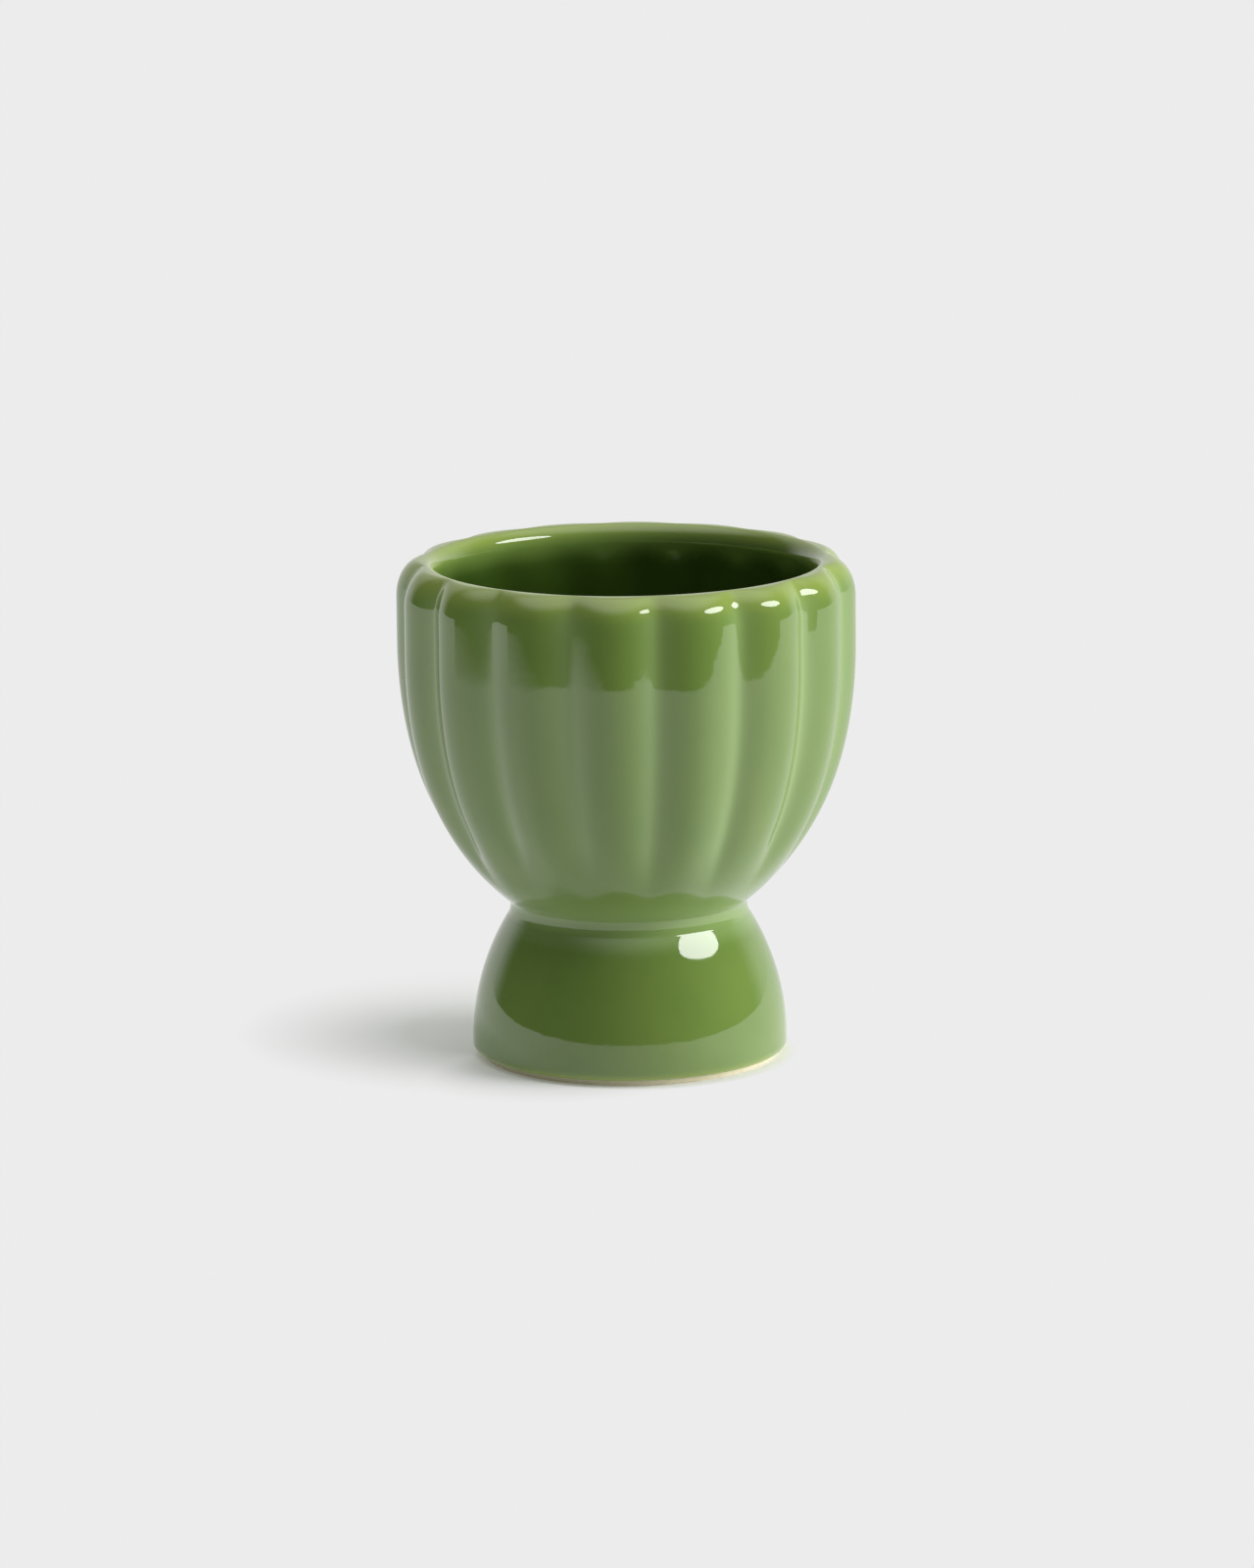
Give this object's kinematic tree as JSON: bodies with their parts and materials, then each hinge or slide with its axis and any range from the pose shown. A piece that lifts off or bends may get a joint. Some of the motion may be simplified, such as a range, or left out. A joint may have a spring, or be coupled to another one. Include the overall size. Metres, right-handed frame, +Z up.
{
  "type": "egg cup",
  "caption": "Glazed ceramic egg cup with a fluted, lobed bowl on a smooth domed foot that is hollow below and stands on a bare clay ring.",
  "frame": {"origin": "centre of the foot ring on the table, under the middle of the cup", "axes": "+Z up along the cup's axis, out of the mouth; +X, -X, +Y and -Y each pass through the crest of a lobe"},
  "size_m": [0.052, 0.052, 0.057],
  "materials": {
    "green_glaze": "gloss",
    "bare_clay": "matt"
  },
  "bodies": {
    "root": {"bowl": "green_glaze", "slip_joint": "green_glaze", "foot": "green_glaze", "foot_ring": "bare_clay"}
  },
  "joints": []
}
